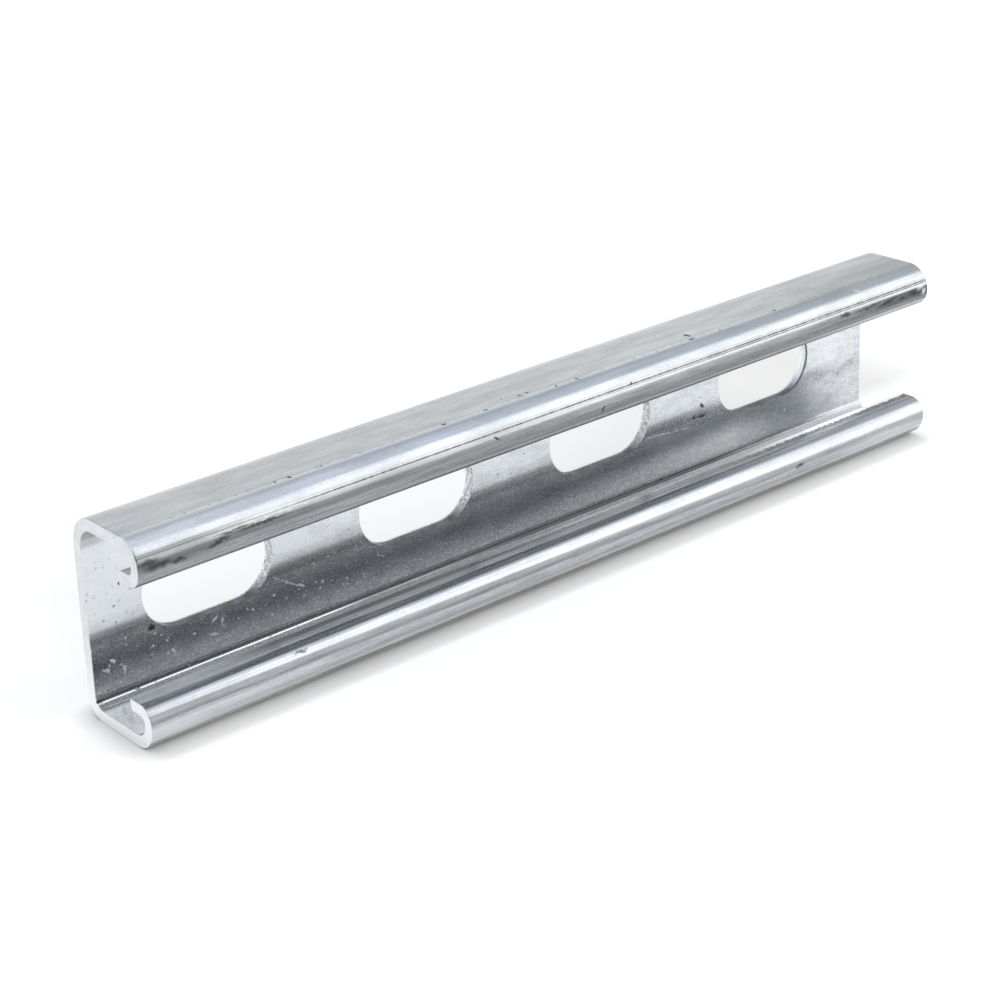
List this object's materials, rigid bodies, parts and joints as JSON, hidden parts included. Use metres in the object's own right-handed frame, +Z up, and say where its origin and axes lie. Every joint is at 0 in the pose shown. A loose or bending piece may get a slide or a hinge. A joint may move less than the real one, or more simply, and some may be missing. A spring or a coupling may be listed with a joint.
{
  "type": "slotted strut channel",
  "caption": "Shallow slotted strut channel: roll-formed galvanised steel with inturned lips and punched oval slots along its web, for framing and supports.",
  "frame": {"origin": "middle of the footprint of the channel as it lies on its lower flange, on the floor", "axes": "+X along the channel, away from the end whose slot starts nearer to it; +Y from the mouth between the lips to the slotted web at the back; +Z up, from the lower flange to the upper one"},
  "size_m": [0.2096, 0.022, 0.041],
  "materials": {
    "galvanised_steel": "bright galvanised, with fine rolling lines along the length and light handling marks"
  },
  "bodies": {
    "root": {"strut_channel": "galvanised_steel"}
  },
  "joints": []
}
